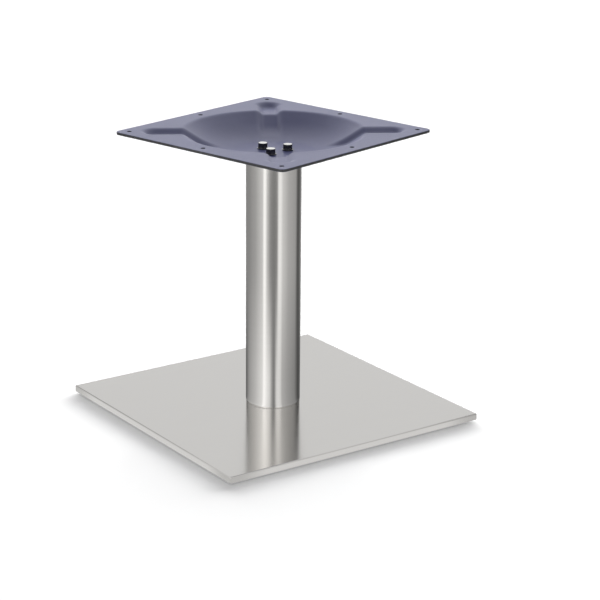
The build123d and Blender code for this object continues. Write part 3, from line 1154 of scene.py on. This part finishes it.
wall_turn = np.radians(np.linspace(WALL_TURN, -WALL_TURN, WALL_STEPS)) + HEADING
wall_plan = np.stack([WALL_REACH * on_circle(wall_turn)] * 2)
wall = lifted(wall_plan, np.array([[WALL_LOW], [WALL_HIGH]]))
wall_card = quad_sheet("wall_card", wall, WALL_GLOW)

for kind in ("camera", "diffuse", "shadow", "transmission", "volume_scatter"):
    setattr(level_card, "visible_" + kind, False)
    setattr(wall_card, "visible_" + kind, False)
print("card reaches", CARD_REACH, WALL_REACH)

# %% [markdown]
# ## Light
# The surround is an even white, weaker for the light it sheds than for what the eye sees.
# Reflections see a white backdrop that turns to a darker ceiling, which gives the dish its depth.

# %% Surround
SKY_LIGHT = 0.25
CEILING_TONE = 0.48
CEILING_FROM, CEILING_FULL = 0.84, 0.99    # rise of a direction at which the ceiling starts and is full
CEILING_LEAN = -0.25         # the ceiling's middle lies a little to one side of straight up

world = bpy.data.worlds.new("studio")
bpy.context.scene.world = world
world.use_nodes = True
sky = world.node_tree
sky.nodes.clear()
path = add(sky, "LightPath").outputs
sideways = Vector((-math.sin(HEADING), math.cos(HEADING), 0))
ceiling_side = sideways * CEILING_LEAN + Vector((0, 0, 1))
toward = add(sky, "TexCoord").outputs["Generated"]
rise = add(sky, "VectorMath", {0: toward, 1: ceiling_side}, operation="DOT_PRODUCT").outputs["Value"]
mirrored = ranged(sky, rise, 1.0, CEILING_TONE, CEILING_FROM, CEILING_FULL)
shed = ranged(sky, path["Is Camera Ray"], SKY_LIGHT, 1.0)
level = tinted(sky, path["Is Glossy Ray"], shed, mirrored)
surround = add(sky, "Background", {"Color": (1, 1, 1, 1), "Strength": level})
add(sky, "OutputWorld", {"Surface": surround.outputs["Background"]})
print("surround sheds", SKY_LIGHT, "and the ceiling mirrors as", CEILING_TONE)

# %% [markdown]
# Three lamps light the object: a very broad one straight above, a smaller one above and behind,
# and a wide low one at the back that shapes the dish. They would also fill the shadow or draw
# three of them, so they leave the floor out, by light linking. One more lamp, low behind the
# object, lights only the floor and draws the soft shadow forward.

# %% Lamps
LAMP_DISTANCE = 120.0        # far away, so the light stays even over the floor


def floor_link(name, state):
    """A light-linking set that either includes only the floor or excludes it."""
    link = bpy.data.collections.new(name)
    link.objects.link(floor)
    link.collection_objects[0].light_linking.link_state = state
    return link


def pointing(turn, tilt):
    """A unit vector at a turn round the upright axis and a tilt above the floor."""
    return Vector((math.cos(turn) * math.cos(tilt), math.sin(turn) * math.cos(tilt), math.sin(tilt)))


def strip_lamp(name, turn, tilt, wide, tall, level, lights):
    """A far rectangular lamp that shines to the middle of the floor. Turn and tilt are its direction,
    wide and tall the angles it fills in the sky, all in degrees, and level is the part of a white
    floor's brightness that it gives: power = level * pi squared * distance squared / sine of the tilt,
    over the shares that the slanting ends of a large lamp leave, (h + sin h * cos h) / (2 * tan h) with
    h half of its width and half of its height."""
    half = np.radians([wide, tall]) / 2
    shares = (half + np.sin(half) * np.cos(half)) / (2 * np.tan(half))
    source = pointing(math.radians(turn), math.radians(tilt))
    lamp = bpy.data.lights.new(name, "AREA")
    lamp.shape = "RECTANGLE"
    lamp.size, lamp.size_y = 2 * LAMP_DISTANCE * np.tan(half)
    lamp.energy = level * math.pi**2 * LAMP_DISTANCE**2 / math.sin(math.radians(tilt)) / shares.prod()
    holder = bpy.data.objects.new(name, lamp)
    bpy.context.scene.collection.objects.link(holder)
    holder.location = LAMP_DISTANCE * source
    holder.rotation_euler = source.to_track_quat("Z", "Y").to_euler()
    holder.visible_glossy = False
    holder.light_linking.receiver_collection = lights
    print(name, "lamp, level", level, "of a white floor")


not_the_floor = floor_link("not_the_floor", "EXCLUDE")
only_the_floor = floor_link("only_the_floor", "INCLUDE")
strip_lamp("ceiling", 0, 90, 120, 120, 0.17, not_the_floor)
strip_lamp("overhead", 40, 64, 50, 50, 0.16, not_the_floor)
strip_lamp("backdrop", 62, 21, 80, 14, 0.46, not_the_floor)
strip_lamp("paper_light", 45, 14, 80, 20, 0.82, only_the_floor)

# %% [markdown]
# ## The camera
# The picture was taken from a good distance with a long lens. The view's turn, tilt and roll
# were found by fitting the edges of the foot, the column and the plate to the picture.

# %% Camera
VIEW_TURN = math.radians(54.947)
VIEW_TILT = math.radians(17.992)
VIEW_ROLL = math.radians(-0.477)
LENS = 123.42                # focal length and sensor in millimetres
SENSOR = 36
CLIP_END = 50

forward = pointing(VIEW_TURN, -VIEW_TILT)
level_right = forward.cross(Vector((0, 0, 1))).normalized()
level_down = forward.cross(level_right)
right = math.cos(VIEW_ROLL) * level_right + math.sin(VIEW_ROLL) * level_down
down = math.cos(VIEW_ROLL) * level_down - math.sin(VIEW_ROLL) * level_right
lens = bpy.data.cameras.new("camera")
lens.lens = LENS
lens.sensor_width = SENSOR
lens.clip_end = CLIP_END
camera = bpy.data.objects.new("camera", lens)
bpy.context.scene.collection.objects.link(camera)
view_axes = Matrix((right, -down, -forward)).transposed()
camera.matrix_world = Matrix.Translation(CAMERA_PLACE) @ view_axes.to_4x4()
bpy.context.scene.camera = camera
bpy.context.scene.view_settings.view_transform = "Standard"
print("camera at", [round(v, 3) for v in CAMERA_PLACE])
